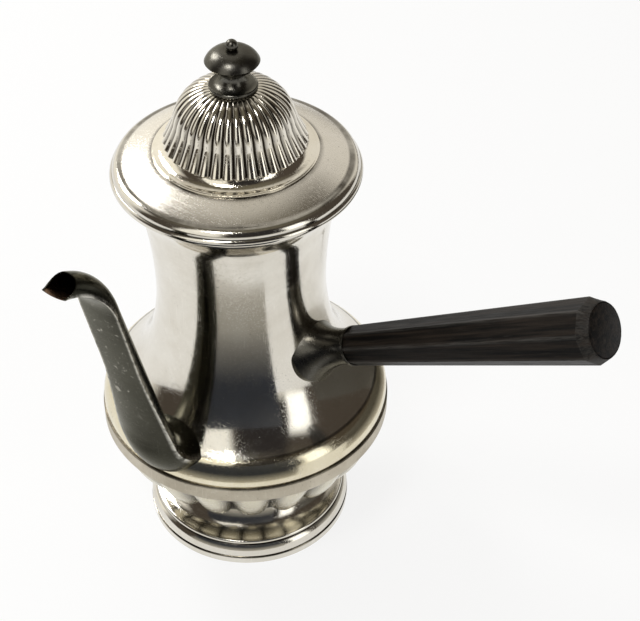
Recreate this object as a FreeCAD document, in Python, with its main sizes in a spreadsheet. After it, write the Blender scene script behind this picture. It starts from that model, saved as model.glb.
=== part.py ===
# Silver-plated coffee pot with a straight wooden side handle and a lift-off ribbed lid.
# +Z is up and the origin is the centre of the foot on the table.
# The handle points along +X and rises; the spout points along -Y.
import FreeCAD, Part
import math
import os

import Sketcher
from FreeCAD import Placement, Rotation, Vector

doc = FreeCAD.newDocument("CoffeePot")
sheet = doc.addObject("Spreadsheet::Sheet", "Sizes")

# Driving dimensions, in millimetres, degrees or counts: name, value, meaning.
DIMENSIONS = [
    ("wall", 1.2, "sheet of the raised shells"),
    ("solder_gap", 0.05, "room for solder between fitted pieces"),

    ("foot_radius", 44.6, "base edge of the foot"),
    ("foot_bore_radius", 39.4, "inside of the foot ring"),
    ("foot_edge_height", 3.0, "upright base edge"),
    ("foot_edge_step", 0.6, "step from the base edge in to the roll"),
    ("foot_roll_height", 6.4, "rounded roll above the base edge"),
    ("foot_roll_lean", 1.8, "how far the roll draws in over its height"),
    ("foot_roll_bulge", 1.2, "swell of the roll"),
    ("pedestal_radius", 41.8, "lower edge of the spreading foot"),
    ("pedestal_bead_height", 1.9, "bead along the lower edge of the spreading foot"),
    ("pedestal_bead_bulge", 0.6, "swell of that bead"),
    ("pedestal_height", 12.6, "spreading foot, from the ring to the bowl"),
    ("pedestal_waist_radius", 30.5, "narrowest place of the spreading foot"),
    ("pedestal_neck_height", 0.8, "upright neck under the bowl"),
    ("pedestal_sweep", 2.6, "hollow of the spreading foot's curve"),
    ("pedestal_flange_bore", 18.0, "hole in the flange soldered to the bowl"),

    ("bowl_floor_radius", 34.0, "flat bottom of the bowl"),
    ("bowl_height", 35.9, "gadrooned part of the bowl"),
    ("bowl_swell", 4.1, "swell of the bowl's side"),
    ("bowl_top_inset", 1.4, "gadroons inside the strip where they meet it"),
    ("gadroon_count", 20, "lobes round the bowl"),
    ("gadroon_depth", 2.6, "grooves between the lobes at their deepest"),
    ("gadroon_end_depth", 0.7, "grooves at their upper and lower ends"),
    ("gadroon_turn", 2.0, "turn of the lobes from the handle's plane"),
    ("strip_radius", 61.4, "flat strip at the widest place"),
    ("strip_height", 6.9, "flat strip"),
    ("joint_inset", 5.4, "joint of the two shells inside the strip"),
    ("collar_height", 5.2, "collar of the bowl above the strip"),

    ("band_inset", 0.9, "lower edge of the rounded band inside the strip"),
    ("band_height", 12.0, "rounded band, from the strip to the crease"),
    ("band_bulge", 2.0, "swell of the band"),

    ("shoulder_height", 24.6, "shoulder above the crease"),
    ("shoulder_radius", 38.4, "where the shoulder turns into the neck"),
    ("shoulder_sweep", 2.6, "hollow of the shoulder's curve"),
    ("neck_rise", 26.6, "from the shoulder to the narrowest place"),
    ("neck_radius", 34.7, "narrowest place of the neck"),
    ("neck_sweep", 0.92, "hollow of the neck's lower curve"),
    ("throat_rise", 36.0, "from the narrowest place to the flare"),
    ("throat_radius", 37.9, "start of the flare"),
    ("throat_sweep", 0.8, "hollow of the neck's upper curve"),
    ("flare_rise", 12.0, "flare under the mouth"),
    ("flare_sweep", 1.0, "hollow of the flare"),
    ("mouth_radius", 43.5, "outside of the upright mouth"),
    ("mouth_rise", 7.5, "upright mouth"),
    ("rim_radius", 49.0, "widest place of the mouth ring"),
    ("rim_bulge", 1.8, "swell of the mouth ring"),
    ("mouth_ring_height", 3.6, "half-round ring at the mouth"),

    ("strainer_hole_radius", 1.5, "holes behind the spout"),
    ("strainer_arc_radius", 12.0, "arc on which the holes lie"),
    ("strainer_arc_drop", 7.6, "centre of that arc below the crease"),
    ("strainer_step", 20.0, "angle from hole to hole"),

    ("lid_height", 7.1, "lid, from the rim of the mouth to the foot of the dome"),
    ("lid_radius", 48.0, "lid where it rests on the mouth ring"),
    ("lid_roll_height", 3.2, "rounded edge of the lid"),
    ("lid_roll_run", 3.8, "how far the rounded edge draws in"),
    ("lid_roll_bulge", 1.0, "swell of the rounded edge"),
    ("lid_slope_bulge", 0.4, "swell of the lid's slope"),
    ("lid_bore_radius", 28.0, "opening of the lid's flange into the dome"),
    ("bezel_depth", 5.8, "bezel below the rim of the mouth"),
    ("bezel_wall", 1.0, "sheet of the bezel"),
    ("bezel_clearance", 0.3, "play of the bezel in the mouth"),

    ("dome_base_radius", 32.2, "moulding at the base of the dome"),
    ("dome_base_edge", 1.0, "upright edge of that moulding"),
    ("dome_cove_radius", 28.4, "top of the cove under the ribs"),
    ("dome_cove_height", 4.3, "cove under the ribs"),
    ("dome_cove_sweep", 0.9, "hollow of the cove"),
    ("rib_count", 36, "ribs round the dome"),
    ("rib_depth", 1.25, "grooves between the ribs"),
    ("rib_tip_height", 0.9, "rounded lower tips of the ribs"),
    ("rib_tip_inset", 0.8, "how far the tips round in"),
    ("rib_foot_radius", 28.9, "ribs at their lower ends"),
    ("bell_rise", 11.0, "hollow lower part of the bell"),
    ("bell_radius", 22.6, "where the bell turns from hollow to round"),
    ("bell_sweep", 0.6, "hollow of the lower part"),
    ("crown_rise", 11.5, "round upper part of the bell"),
    ("crown_radius", 10.2, "flat top of the dome"),
    ("crown_swell", 3.1, "swell of the upper part"),

    ("stem_rim_radius", 9.5, "rim of the finial's stem"),
    ("stem_rim_height", 1.6, "rim of the stem"),
    ("stem_rim_bulge", 0.4, "swell of the rim"),
    ("stem_dish_radius", 7.9, "inside of the shallow dish in the rim"),
    ("stem_dish_depth", 0.5, "depth of that dish"),
    ("stem_height", 7.0, "stem, from dome to knob"),
    ("stem_top_radius", 4.3, "stem and knob where they meet"),
    ("stem_sweep", 1.0, "hollow of the stem"),
    ("knob_height", 9.0, "knob"),
    ("knob_radius", 10.4, "widest place of the knob"),
    ("knob_waist_height", 4.4, "widest place above the knob's underside"),
    ("knob_under_bulge", 0.7, "swell of the knob's underside"),
    ("knob_top_bulge", 1.5, "swell of the knob's top"),
    ("knob_top_radius", 2.4, "seat of the bead on the knob"),
    ("bead_neck_radius", 1.8, "bead where it sits on the knob"),
    ("bead_height", 4.1, "bead on top of the knob"),
    ("stud_radius", 1.5, "stud through the finial"),
    ("washer_radius", 4.2, "washer inside the dome"),
    ("washer_height", 1.0, "washer"),
    ("nut_radius", 3.2, "nut across its corners, half"),
    ("nut_height", 2.5, "nut"),
    ("stud_end", 0.8, "stud beyond the nut"),

    ("handle_tilt", 30.0, "rise of the handle above level"),
    ("handle_axis_rise", 7.8, "where the handle's axis meets the pot's, above the crease"),
    ("socket_end", 64.4, "outer end of the socket along the handle's axis"),
    ("socket_length", 22.4, "flared part of the socket"),
    ("socket_root_radius", 13.8, "flare at the body"),
    ("socket_sweep", 2.6, "hollow of the flare"),
    ("socket_radius", 7.8, "socket at the wood"),
    ("socket_lip_width", 1.2, "bright lip at the socket's end"),
    ("socket_lip_height", 0.35, "lip above the socket"),
    ("socket_root_depth", 16.0, "socket blank carried into the body before it is cut"),
    ("tenon_radius", 5.4, "round tenon of the grip"),
    ("tenon_length", 17.0, "tenon in the socket"),
    ("tenon_clearance", 0.1, "play of the tenon"),
    ("grip_length", 118.4, "wooden grip"),
    ("grip_start_width", 15.0, "grip across its flats at the socket"),
    ("grip_end_width", 23.1, "grip across its flats at its end"),
    ("grip_start_ease", 0.8, "eased edge at the socket"),
    ("grip_end_bevel", 2.2, "bevel at the end, across"),
    ("grip_end_bevel_depth", 1.6, "bevel at the end, along"),
    ("pin_radius", 1.2, "pin through socket and tenon"),
    ("pin_setback", 7.0, "pin from the socket's end"),
    ("pin_proud", 0.25, "pin head beyond the socket"),

    ("spout_root_drop", 1.8, "spout's line below the crease at its root"),
    ("spout_root_depth", 10.0, "spout blank carried into the body before it is cut"),
    ("spout_elbow_out", 0.7, "riser's line outside the strip, at the root's level"),
    ("spout_riser_angle", 76.6, "riser above level"),
    ("spout_riser_length", 113.4, "from elbow to tip bend, corner to corner"),
    ("spout_tip_angle", 17.8, "mouth above level"),
    ("spout_tip_length", 17.6, "tip bend's corner to the mouth"),
    ("spout_elbow_bend", 11.5, "bend radius at the elbow"),
    ("spout_tip_bend", 28.5, "bend radius at the tip"),
    ("spout_wall", 1.0, "wall of the spout"),
    ("root_half_width", 16.9, "spout section at the body"),
    ("root_front", 10.2, "front swell there"),
    ("root_back", 9.7, "back depth there"),
    ("elbow_half_width", 15.4, "spout section after the elbow"),
    ("elbow_front", 2.5, "front swell there"),
    ("elbow_back", 7.8, "back depth there"),
    ("shank_half_width", 9.3, "spout section half-way up"),
    ("shank_front", 0.8, "front swell there"),
    ("shank_back", 7.0, "back depth there"),
    ("bend_half_width", 9.0, "spout section where the tip bends"),
    ("bend_front", 0.7, "front swell there"),
    ("bend_back", 5.8, "back depth there"),
    ("tip_half_width", 4.4, "spout section at the mouth"),
    ("tip_front", 0.6, "front swell there"),
    ("tip_back", 7.3, "back depth there"),
    ("lip_notch_radius", 5.8, "round cut across the mouth"),
    ("lip_notch_rise", 5.6, "centre of that cut above the mouth's line"),
]


class Size:
    """A dimension that knows its value and the expression that gives it."""

    def __init__(self, value, text):
        self.value = value
        self.text = text

    @staticmethod
    def of(other):
        return other if isinstance(other, Size) else Size(other, str(other))

    def joined(self, sign, other, value):
        return Size(value, "(" + self.text + " " + sign + " " + other.text + ")")

    def __add__(self, other):
        other = Size.of(other)
        return self.joined("+", other, self.value + other.value)

    def __sub__(self, other):
        other = Size.of(other)
        return self.joined("-", other, self.value - other.value)

    def __mul__(self, other):
        other = Size.of(other)
        return self.joined("*", other, self.value * other.value)

    def __truediv__(self, other):
        other = Size.of(other)
        return self.joined("/", other, self.value / other.value)

    def root(self):
        return Size(math.sqrt(self.value), "sqrt(" + self.text + ")")

    def sine(self):
        return Size(math.sin(math.radians(self.value)), "sin(" + self.text + ")")

    def cosine(self):
        return Size(math.cos(math.radians(self.value)), "cos(" + self.text + ")")


class Sizes:
    """The named dimensions of the sheet, as attributes."""


def fill_sheet():
    """Writes the driving dimensions to the sheet and hands them back by name."""
    for row, (name, value, meaning) in enumerate(DIMENSIONS, start=1):
        sheet.set("A" + str(row), meaning)
        sheet.set("B" + str(row), str(value))
        sheet.setAlias("B" + str(row), name)
    doc.recompute()
    named = Sizes()
    for name, value, meaning in DIMENSIONS:
        setattr(named, name, Size(sheet.get(name), "Sizes." + name))
    return named


d = fill_sheet()
AXIS = Size(0.0, "0")

# Heights above the table, stacked from the foot up.
ring_top = d.foot_edge_height + d.foot_roll_height
bowl_floor = ring_top + d.pedestal_height
strip_foot = bowl_floor + d.bowl_height
ledge = strip_foot + d.strip_height
joint_level = ledge + d.collar_height
crease = ledge + d.band_height
shoulder_top = crease + d.shoulder_height
neck_level = shoulder_top + d.neck_rise
throat_level = neck_level + d.throat_rise
mouth_foot = throat_level + d.flare_rise
rim = mouth_foot + d.mouth_rise
lid_top = rim + d.lid_height
lid_under = lid_top - d.wall
cove_top = lid_top + d.dome_base_edge + d.dome_cove_height
bell_top = cove_top + d.bell_rise
dome_top = bell_top + d.crown_rise
dome_ceiling = dome_top - d.wall
knob_foot = dome_top + d.stem_height
knob_top = knob_foot + d.knob_height
rim_flat = d.rim_radius - d.rim_bulge
joint_radius = d.strip_radius - d.joint_inset
bowl_top_radius = d.strip_radius - d.bowl_top_inset
band_foot_radius = d.strip_radius - d.band_inset
stud_hole = d.stud_radius + d.solder_gap


def origin_plane(body, role):
    """The body's own origin plane of that role."""
    return next(plane for plane in body.Origin.OriginFeatures if plane.Role == role)


def new_sketch(body, name, role="XZ_Plane"):
    """An empty sketch on one of the body's origin planes."""
    sketch = body.newObject("Sketcher::SketchObject", name)
    sketch.AttachmentSupport = [(origin_plane(body, role), "")]
    sketch.MapMode = "FlatFace"
    return sketch


def bind(sketch, constraint, size):
    """Adds a dimension to the sketch and ties it to its expression."""
    index = sketch.addConstraint(constraint)
    sketch.setExpression("Constraints[" + str(index) + "]", size.text)


def place_point(sketch, edge, end, across, up):
    """Fixes a point of the sketch by its distances from the origin."""
    if across is AXIS:
        sketch.addConstraint(Sketcher.Constraint("PointOnObject", edge, end, -2))
    else:
        bind(sketch, Sketcher.Constraint("DistanceX", -1, 1, edge, end, across.value), across)
    if up is AXIS:
        sketch.addConstraint(Sketcher.Constraint("PointOnObject", edge, end, -1))
    else:
        bind(sketch, Sketcher.Constraint("DistanceY", -1, 1, edge, end, up.value), up)


def arc_edge(start, crest, end, outward):
    """An arc of the outline through its crest; it swells outwards or hollows inwards."""
    through = Part.Circle(start, crest, end)
    centre = through.Center
    first, last = (start, end) if outward else (end, start)
    first_angle = math.atan2(first.y - centre.y, first.x - centre.x)
    last_angle = math.atan2(last.y - centre.y, last.x - centre.x)
    if last_angle < first_angle:
        last_angle += 2 * math.pi
    circle = Part.Circle(centre, Vector(0, 0, 1), through.Radius)
    return Part.ArcOfCircle(circle, first_angle, last_angle)


def crest_of(start, end, bulge, outward):
    """Across and up of the place where an arc stands furthest from its chord."""
    run = end[0] - start[0]
    rise = end[1] - start[1]
    share = bulge / (run * run + rise * rise).root()
    across = (start[0] + end[0]) / 2
    up = (start[1] + end[1]) / 2
    if outward:
        return across + rise * share, up - run * share
    return across - rise * share, up + run * share


def swell(bulge):
    """The next edge is an arc that swells out of the outline."""
    return bulge, True


def hollow(bulge):
    """The next edge is an arc that hollows into the outline."""
    return bulge, False


def ball():
    """The next edge is an arc that swells to the axis, with its centre on the axis."""
    return None, True


def draw_arc(sketch, start, end, bulge, outward):
    """Adds an arc of the outline, fixed by its crest or by its centre on the axis."""
    first = Vector(start[0].value, start[1].value, 0)
    last = Vector(end[0].value, end[1].value, 0)
    if bulge is None:
        rise = last.y - first.y
        radius = (first.x ** 2 + rise ** 2) / (2 * rise)
        centre = Vector(0, last.y - radius, 0)
        halfway = (first + last) / 2 - centre
        crest = centre + halfway.normalize() * radius
        edge = sketch.addGeometry(arc_edge(first, crest, last, outward))
        sketch.addConstraint(Sketcher.Constraint("PointOnObject", edge, 3, -2))
        return edge
    across, up = crest_of(start, end, bulge, outward)
    crest = Vector(across.value, up.value, 0)
    edge = sketch.addGeometry(arc_edge(first, crest, last, outward))
    point = sketch.addGeometry(Part.Point(crest), True)
    sketch.addConstraint(Sketcher.Constraint("PointOnObject", point, 1, edge))
    place_point(sketch, point, 1, across, up)
    return edge


def draw_outline(sketch, points):
    """Closed outline, anticlockwise: (across, up) points, each with the arc that leaves it, if any."""
    ends = []
    for index, point in enumerate(points):
        following = points[(index + 1) % len(points)]
        if len(point) > 2:
            bulge, outward = point[2]
            edge = draw_arc(sketch, point, following, bulge, outward)
            ends.append((edge, 1, 2) if outward else (edge, 2, 1))
        else:
            start = Vector(point[0].value, point[1].value, 0)
            end = Vector(following[0].value, following[1].value, 0)
            edge = sketch.addGeometry(Part.LineSegment(start, end))
            ends.append((edge, 1, 2))
    for index, point in enumerate(points):
        edge, first, last = ends[index]
        before = ends[index - 1]
        sketch.addConstraint(Sketcher.Constraint("Coincident", before[0], before[2], edge, first))
        place_point(sketch, edge, first, point[0], point[1])


def new_body(label):
    """An empty body with that label."""
    body = doc.addObject("PartDesign::Body", label)
    body.Label = label
    return body


def turned(label, points):
    """A body turned about the upright axis from half its outline."""
    body = new_body(label)
    sketch = new_sketch(body, label + "_outline")
    draw_outline(sketch, points)
    revolution = body.newObject("PartDesign::Revolution", label + "_turned")
    revolution.Profile = sketch
    revolution.ReferenceAxis = (sketch, ["V_Axis"])
    revolution.Angle = 360
    return body


def hollowed(body, label):
    """Leaves only the body's sheet, open at its flat ends."""
    doc.recompute()
    solid = body.Tip
    flats = [
        "Face" + str(number)
        for number, face in enumerate(solid.Shape.Faces, start=1)
        if isinstance(face.Surface, Part.Plane)
    ]
    sheet_metal = body.newObject("PartDesign::Thickness", label + "_sheet")
    sheet_metal.Base = (solid, flats)
    sheet_metal.Reversed = True
    sheet_metal.setExpression("Value", d.wall.text)
    doc.recompute()


def circle_sketch(body, name, role, circles):
    """A sketch of circles: (across, up, radius) each."""
    sketch = new_sketch(body, name, role)
    for across, up, radius in circles:
        centre = Vector(across.value, up.value, 0)
        edge = sketch.addGeometry(Part.Circle(centre, Vector(0, 0, 1), radius.value))
        bind(sketch, Sketcher.Constraint("Radius", edge, radius.value), radius)
        place_point(sketch, edge, 3, across, up)
    return sketch


def cut(label, base, tool):
    """The base less the tool."""
    result = doc.addObject("Part::Cut", label)
    result.Label = label
    result.Base = base
    result.Tool = tool
    return result


def fused(label, pieces):
    """The pieces as one solid."""
    result = doc.addObject("Part::MultiFuse", label)
    result.Label = label
    result.Shapes = pieces
    return result


def shaped(label, shape):
    """A piece whose shape is worked out from the sheet's values."""
    result = doc.addObject("Part::Feature", label)
    result.Label = label
    result.Shape = shape
    return result


def arc_point(start, end, bulge, share):
    """Point at a share of the arc from start to end; a positive bulge lies right of the way."""
    chord = end - start
    right = Vector(chord.y, -chord.x, 0) / chord.Length
    half_angle = 2 * math.atan2(2 * bulge, chord.Length)
    radius = chord.Length / (2 * math.sin(half_angle))
    centre = (start + end) / 2 - right * (radius * math.cos(half_angle))
    turn = Rotation(Vector(0, 0, 1), math.degrees(2 * half_angle * share))
    return centre + turn.multVec(start - centre)


def lobed_wire(count, crest, depth, height, turn):
    """Closed ring of rounded lobes with sharp grooves between them."""
    step = 2 * math.pi / count
    start = math.radians(turn)

    def at(radius, angle):
        return Vector(radius * math.cos(angle), radius * math.sin(angle), height)

    arcs = []
    for lobe in range(count):
        middle = start + lobe * step
        groove_before = at(crest - depth, middle - step / 2)
        groove_after = at(crest - depth, middle + step / 2)
        arcs.append(Part.Arc(groove_before, at(crest, middle), groove_after).toShape())
    return Part.Wire(arcs)


# Foot: a cast ring under a spun spreading foot, whose flange is soldered to the bowl.
foot_ring = turned("foot_ring", [
    (d.foot_bore_radius, AXIS),
    (d.foot_radius, AXIS),
    (d.foot_radius, d.foot_edge_height),
    (d.foot_radius - d.foot_edge_step, d.foot_edge_height, swell(d.foot_roll_bulge)),
    (d.foot_radius - d.foot_edge_step - d.foot_roll_lean, ring_top),
    (d.foot_bore_radius, ring_top),
])

bead_top = ring_top + d.pedestal_bead_height
flange_under = bowl_floor - d.wall
foot_pedestal = turned("foot_pedestal", [
    (d.pedestal_radius - d.wall, ring_top),
    (d.pedestal_radius, ring_top, swell(d.pedestal_bead_bulge)),
    (d.pedestal_radius, bead_top, hollow(d.pedestal_sweep)),
    (d.pedestal_waist_radius, bowl_floor - d.pedestal_neck_height),
    (d.pedestal_waist_radius, bowl_floor),
    (d.pedestal_flange_bore, bowl_floor),
    (d.pedestal_flange_bore, flange_under),
    (d.pedestal_waist_radius - d.wall, flange_under, swell(d.pedestal_sweep)),
])


# Lower bowl: gadroons, the flat strip and a collar for the joint, hollow inside.
def gadroons():
    """Solid of the bowl's lobes, lofted from its flat bottom to the strip."""
    low = Vector(d.bowl_floor_radius.value, bowl_floor.value, 0)
    high = Vector(bowl_top_radius.value, strip_foot.value, 0)
    deeper = d.gadroon_depth.value - d.gadroon_end_depth.value
    section_count = 7
    wires = []
    for section in range(section_count):
        share = section / (section_count - 1)
        crest = arc_point(low, high, d.bowl_swell.value, share)
        depth = d.gadroon_end_depth.value + deeper * math.sin(math.pi * share)
        count = round(d.gadroon_count.value)
        wires.append(lobed_wire(count, crest.x, depth, crest.y, d.gadroon_turn.value))
    return Part.makeLoft(wires, True, False)


bowl_lobes = shaped("bowl_lobes", gadroons())
bowl_rim = turned("bowl_rim", [
    (AXIS, strip_foot),
    (d.strip_radius, strip_foot),
    (d.strip_radius, ledge),
    (joint_radius, ledge),
    (joint_radius, joint_level),
    (AXIS, joint_level),
])
cavity_floor_radius = d.bowl_floor_radius - d.wall - d.wall
cavity_top = joint_level + d.wall
bowl_cavity = turned("bowl_cavity", [
    (AXIS, bowl_floor + d.wall),
    (cavity_floor_radius, bowl_floor + d.wall, swell(d.bowl_swell)),
    (joint_radius - d.wall, strip_foot),
    (joint_radius - d.wall, cavity_top),
    (AXIS, cavity_top),
])
bowl_blank = fused("bowl_blank", [bowl_lobes, bowl_rim])
lower_bowl = cut("lower_bowl", bowl_blank, bowl_cavity)

band_bore = joint_radius + d.solder_gap
belly_band = turned("belly_band", [
    (band_bore, ledge),
    (band_foot_radius, ledge, swell(d.band_bulge)),
    (band_bore, crease),
])


# Upper body: shoulder, neck and flared mouth, raised from one sheet.
def upper_side(gap):
    """Outside of the upper body from the crease to the rim, moved out by a gap."""
    return [
        (joint_radius + gap, crease, hollow(d.shoulder_sweep)),
        (d.shoulder_radius + gap, shoulder_top, hollow(d.neck_sweep)),
        (d.neck_radius + gap, neck_level, hollow(d.throat_sweep)),
        (d.throat_radius + gap, throat_level, hollow(d.flare_sweep)),
        (d.mouth_radius + gap, mouth_foot),
        (d.mouth_radius + gap, rim),
    ]


def strainer_circles():
    """Strainer holes on an arc behind the spout's root."""
    centre = crease - d.strainer_arc_drop
    circles = []
    for number in (-2, -1, 0, 1, 2):
        angle = d.strainer_step * number
        across = d.strainer_arc_radius * angle.sine() if number else AXIS
        up = centre + d.strainer_arc_radius * angle.cosine()
        circles.append((across, up, d.strainer_hole_radius))
    return circles


upper_body = turned("upper_body", [
    (AXIS, joint_level),
    (joint_radius, joint_level),
    *upper_side(AXIS),
    (AXIS, rim),
])
hollowed(upper_body, "upper_body")
strainer = upper_body.newObject("PartDesign::Pocket", "strainer")
strainer.Profile = circle_sketch(upper_body, "strainer_holes", "XZ_Plane", strainer_circles())
strainer.Type = "ThroughAll"
strainer.Reversed = True

mouth_ring = turned("mouth_ring", [
    (d.mouth_radius + d.solder_gap, rim - d.mouth_ring_height),
    (rim_flat, rim - d.mouth_ring_height, swell(d.rim_bulge)),
    (rim_flat, rim),
    (d.mouth_radius + d.solder_gap, rim),
])

# The pot's outside, a solder gap larger, to which spout and socket are cut.
pot_core = turned("pot_core", [
    (AXIS, bowl_floor),
    (d.strip_radius + d.solder_gap, bowl_floor),
    (d.strip_radius + d.solder_gap, ledge + d.solder_gap),
    (band_foot_radius + d.solder_gap, ledge + d.solder_gap, swell(d.band_bulge)),
    *upper_side(d.solder_gap),
    (AXIS, rim),
])


# Spout: straight root, elbow, straight riser, tip bend and mouth, in the plane of -Y and Z.
def spout_path():
    """Places along the spout with its heading: (reach, height, heading in degrees, stage)."""
    riser_angle = d.spout_riser_angle.value
    tip_angle = d.spout_tip_angle.value
    elbow = Vector((d.strip_radius + d.spout_elbow_out).value, (crease - d.spout_root_drop).value, 0)
    riser = Vector(math.cos(math.radians(riser_angle)), math.sin(math.radians(riser_angle)), 0)
    tip = Vector(math.cos(math.radians(tip_angle)), math.sin(math.radians(tip_angle)), 0)
    corner = elbow + riser * d.spout_riser_length.value
    mouth = corner + tip * d.spout_tip_length.value
    elbow_setback = d.spout_elbow_bend.value * math.tan(math.radians(riser_angle / 2))
    tip_setback = d.spout_tip_bend.value * math.tan(math.radians((riser_angle - tip_angle) / 2))
    level = Vector(1, 0, 0)
    root = Vector(joint_radius.value - d.spout_root_depth.value, elbow.y, 0)
    bend_start = elbow - level * elbow_setback
    bend_end = elbow + riser * elbow_setback
    tip_start = corner - riser * tip_setback
    tip_end = corner + tip * tip_setback
    places = [(root, 0.0, 0.0), (bend_start, 0.0, 0.0)]
    bend_step_count = 3
    for step in range(1, bend_step_count + 1):
        share = step / bend_step_count
        rise = d.spout_elbow_bend.value * math.tan(math.radians(riser_angle / 4))
        place = arc_point(bend_start, bend_end, rise * math.sin(math.radians(riser_angle / 2)), share)
        places.append((place, riser_angle * share, share))
    riser_step_count = 4
    for step in range(1, riser_step_count + 1):
        share = step / riser_step_count
        places.append((bend_end + (tip_start - bend_end) * share, riser_angle, 1 + 2 * share))
    tip_step_count = 4
    turn = riser_angle - tip_angle
    for step in range(1, tip_step_count + 1):
        share = step / tip_step_count
        rise = d.spout_tip_bend.value * math.tan(math.radians(turn / 4))
        place = arc_point(tip_start, tip_end, -rise * math.sin(math.radians(turn / 2)), share)
        places.append((place, riser_angle - turn * share, 3 + share))
    places.append((mouth, tip_angle, 4.0))
    return places


def spout_sizes(stage):
    """Half width, front swell and back depth at a stage between the named sections."""
    named = [
        (d.root_half_width, d.root_front, d.root_back),
        (d.elbow_half_width, d.elbow_front, d.elbow_back),
        (d.shank_half_width, d.shank_front, d.shank_back),
        (d.bend_half_width, d.bend_front, d.bend_back),
        (d.tip_half_width, d.tip_front, d.tip_back),
    ]
    before = min(int(stage), len(named) - 2)
    share = stage - before
    pairs = zip(named[before], named[before + 1])
    return [low.value * (1 - share) + high.value * share for low, high in pairs]


def spout_wire(place, heading, half_width, drop, front, back):
    """One section across the spout: a flat or swelled front and a round back that meet in two ridges."""
    out = Vector(0, -math.sin(math.radians(heading)), -math.cos(math.radians(heading)))
    centre = Vector(0, -place.x, place.y)
    left = centre + Vector(-half_width, 0, 0) + out * -drop
    right = centre + Vector(half_width, 0, 0) + out * -drop
    front_arc = Part.Arc(left, centre + out * front, right).toShape()
    back_arc = Part.Arc(right, centre + out * -back, left).toShape()
    return Part.Wire([front_arc, back_arc])


def spout_loft(wall):
    """Solid of the spout's outside, or of its bore a wall's thickness inside it."""
    wires = []
    for place, heading, stage in spout_path():
        half_width, front, back = spout_sizes(stage)
        wires.append(spout_wire(place, heading, half_width - 2 * wall, wall, front - wall, back - wall))
    return Part.makeLoft(wires, True, False)


spout_outside = shaped("spout_outside", spout_loft(0.0))
spout_bore = shaped("spout_bore", spout_loft(d.spout_wall.value))
mouth_place = spout_path()[-1][0]
lip_notch = doc.addObject("Part::Cylinder", "lip_notch")
lip_notch.setExpression("Radius", d.lip_notch_radius.text)
lip_notch.setExpression("Height", (d.root_half_width * 2).text)
lip_notch.Placement = Placement(
    Vector(-d.root_half_width.value, -mouth_place.x, mouth_place.y + d.lip_notch_rise.value),
    Rotation(Vector(0, 1, 0), 90),
)
spout_shell = cut("spout_shell", spout_outside, spout_bore)
spout_lipped = cut("spout_lipped", spout_shell, lip_notch)
spout = cut("spout", spout_lipped, pot_core)


# Handle: pieces are drawn along an upright axis and then laid over to the handle's tilt.
def lay_over(body):
    """Turns a piece from the upright axis to the handle's axis."""
    height = crease + d.handle_axis_rise
    body.Placement = Placement(
        Vector(0, 0, height.value),
        Rotation(Vector(0, 1, 0), 90 - d.handle_tilt.value),
    )
    body.setExpression("Placement.Base.z", height.text)
    body.setExpression("Placement.Rotation.Angle", "90 - " + d.handle_tilt.text)


socket_root = d.socket_end - d.socket_length
lip_foot = d.socket_end - d.socket_lip_width
socket_bore_radius = d.tenon_radius + d.tenon_clearance
socket_bore_foot = d.socket_end - d.tenon_length - d.tenon_clearance
socket_blank = turned("socket_blank", [
    (AXIS, socket_root - d.socket_root_depth),
    (d.socket_root_radius, socket_root - d.socket_root_depth),
    (d.socket_root_radius, socket_root, hollow(d.socket_sweep)),
    (d.socket_radius, lip_foot),
    (d.socket_radius + d.socket_lip_height, lip_foot),
    (d.socket_radius + d.socket_lip_height, d.socket_end),
    (socket_bore_radius, d.socket_end),
    (socket_bore_radius, socket_bore_foot),
    (AXIS, socket_bore_foot),
])
lay_over(socket_blank)


def octagon_sketch(body, name, width, height):
    """Regular octagon across its flats, a flat on top, at a height along the axis."""
    sketch = new_sketch(body, name, "XY_Plane")
    sketch.AttachmentOffset = Placement(Vector(0, 0, height.value), Rotation())
    sketch.setExpression("AttachmentOffset.Base.z", height.text)
    half_flat = width / 2
    half_side = half_flat * Size(math.tan(math.pi / 8), "tan(22.5)")
    minus = Size(-1.0, "-1")
    corners = [
        (half_flat, half_side), (half_side, half_flat),
        (half_side * minus, half_flat), (half_flat * minus, half_side),
        (half_flat * minus, half_side * minus), (half_side * minus, half_flat * minus),
        (half_side, half_flat * minus), (half_flat, half_side * minus),
    ]
    draw_outline(sketch, corners)
    return sketch


grip_end = d.socket_end + d.grip_length
grip_bar = new_body("grip_bar")
grip_start_section = octagon_sketch(grip_bar, "grip_start_section", d.grip_start_width, d.socket_end)
grip_end_section = octagon_sketch(grip_bar, "grip_end_section", d.grip_end_width, grip_end)
grip_loft = grip_bar.newObject("PartDesign::AdditiveLoft", "grip_loft")
grip_loft.Profile = grip_start_section
grip_loft.Sections = [grip_end_section]
lay_over(grip_bar)

bevel_foot = grip_end - d.grip_end_bevel_depth
ease_top = d.socket_end + d.grip_start_ease
end_corner = d.grip_end_width / 2 / Size(math.cos(math.pi / 8), "cos(22.5)")
grip_ends = turned("grip_ends", [
    (AXIS, d.socket_end),
    (d.grip_start_width / 2, d.socket_end),
    (d.grip_start_width / 2 + d.grip_start_ease, ease_top),
    (end_corner, bevel_foot),
    (end_corner - d.grip_end_bevel, grip_end),
    (AXIS, grip_end),
])
lay_over(grip_ends)
grip_wood = doc.addObject("Part::Common", "grip_wood")
grip_wood.Base = grip_bar
grip_wood.Tool = grip_ends

grip_tenon = turned("grip_tenon", [
    (AXIS, d.socket_end - d.tenon_length),
    (d.tenon_radius, d.socket_end - d.tenon_length),
    (d.tenon_radius, d.socket_end),
    (AXIS, d.socket_end),
])
lay_over(grip_tenon)
grip_blank = fused("grip_blank", [grip_wood, grip_tenon])


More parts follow.
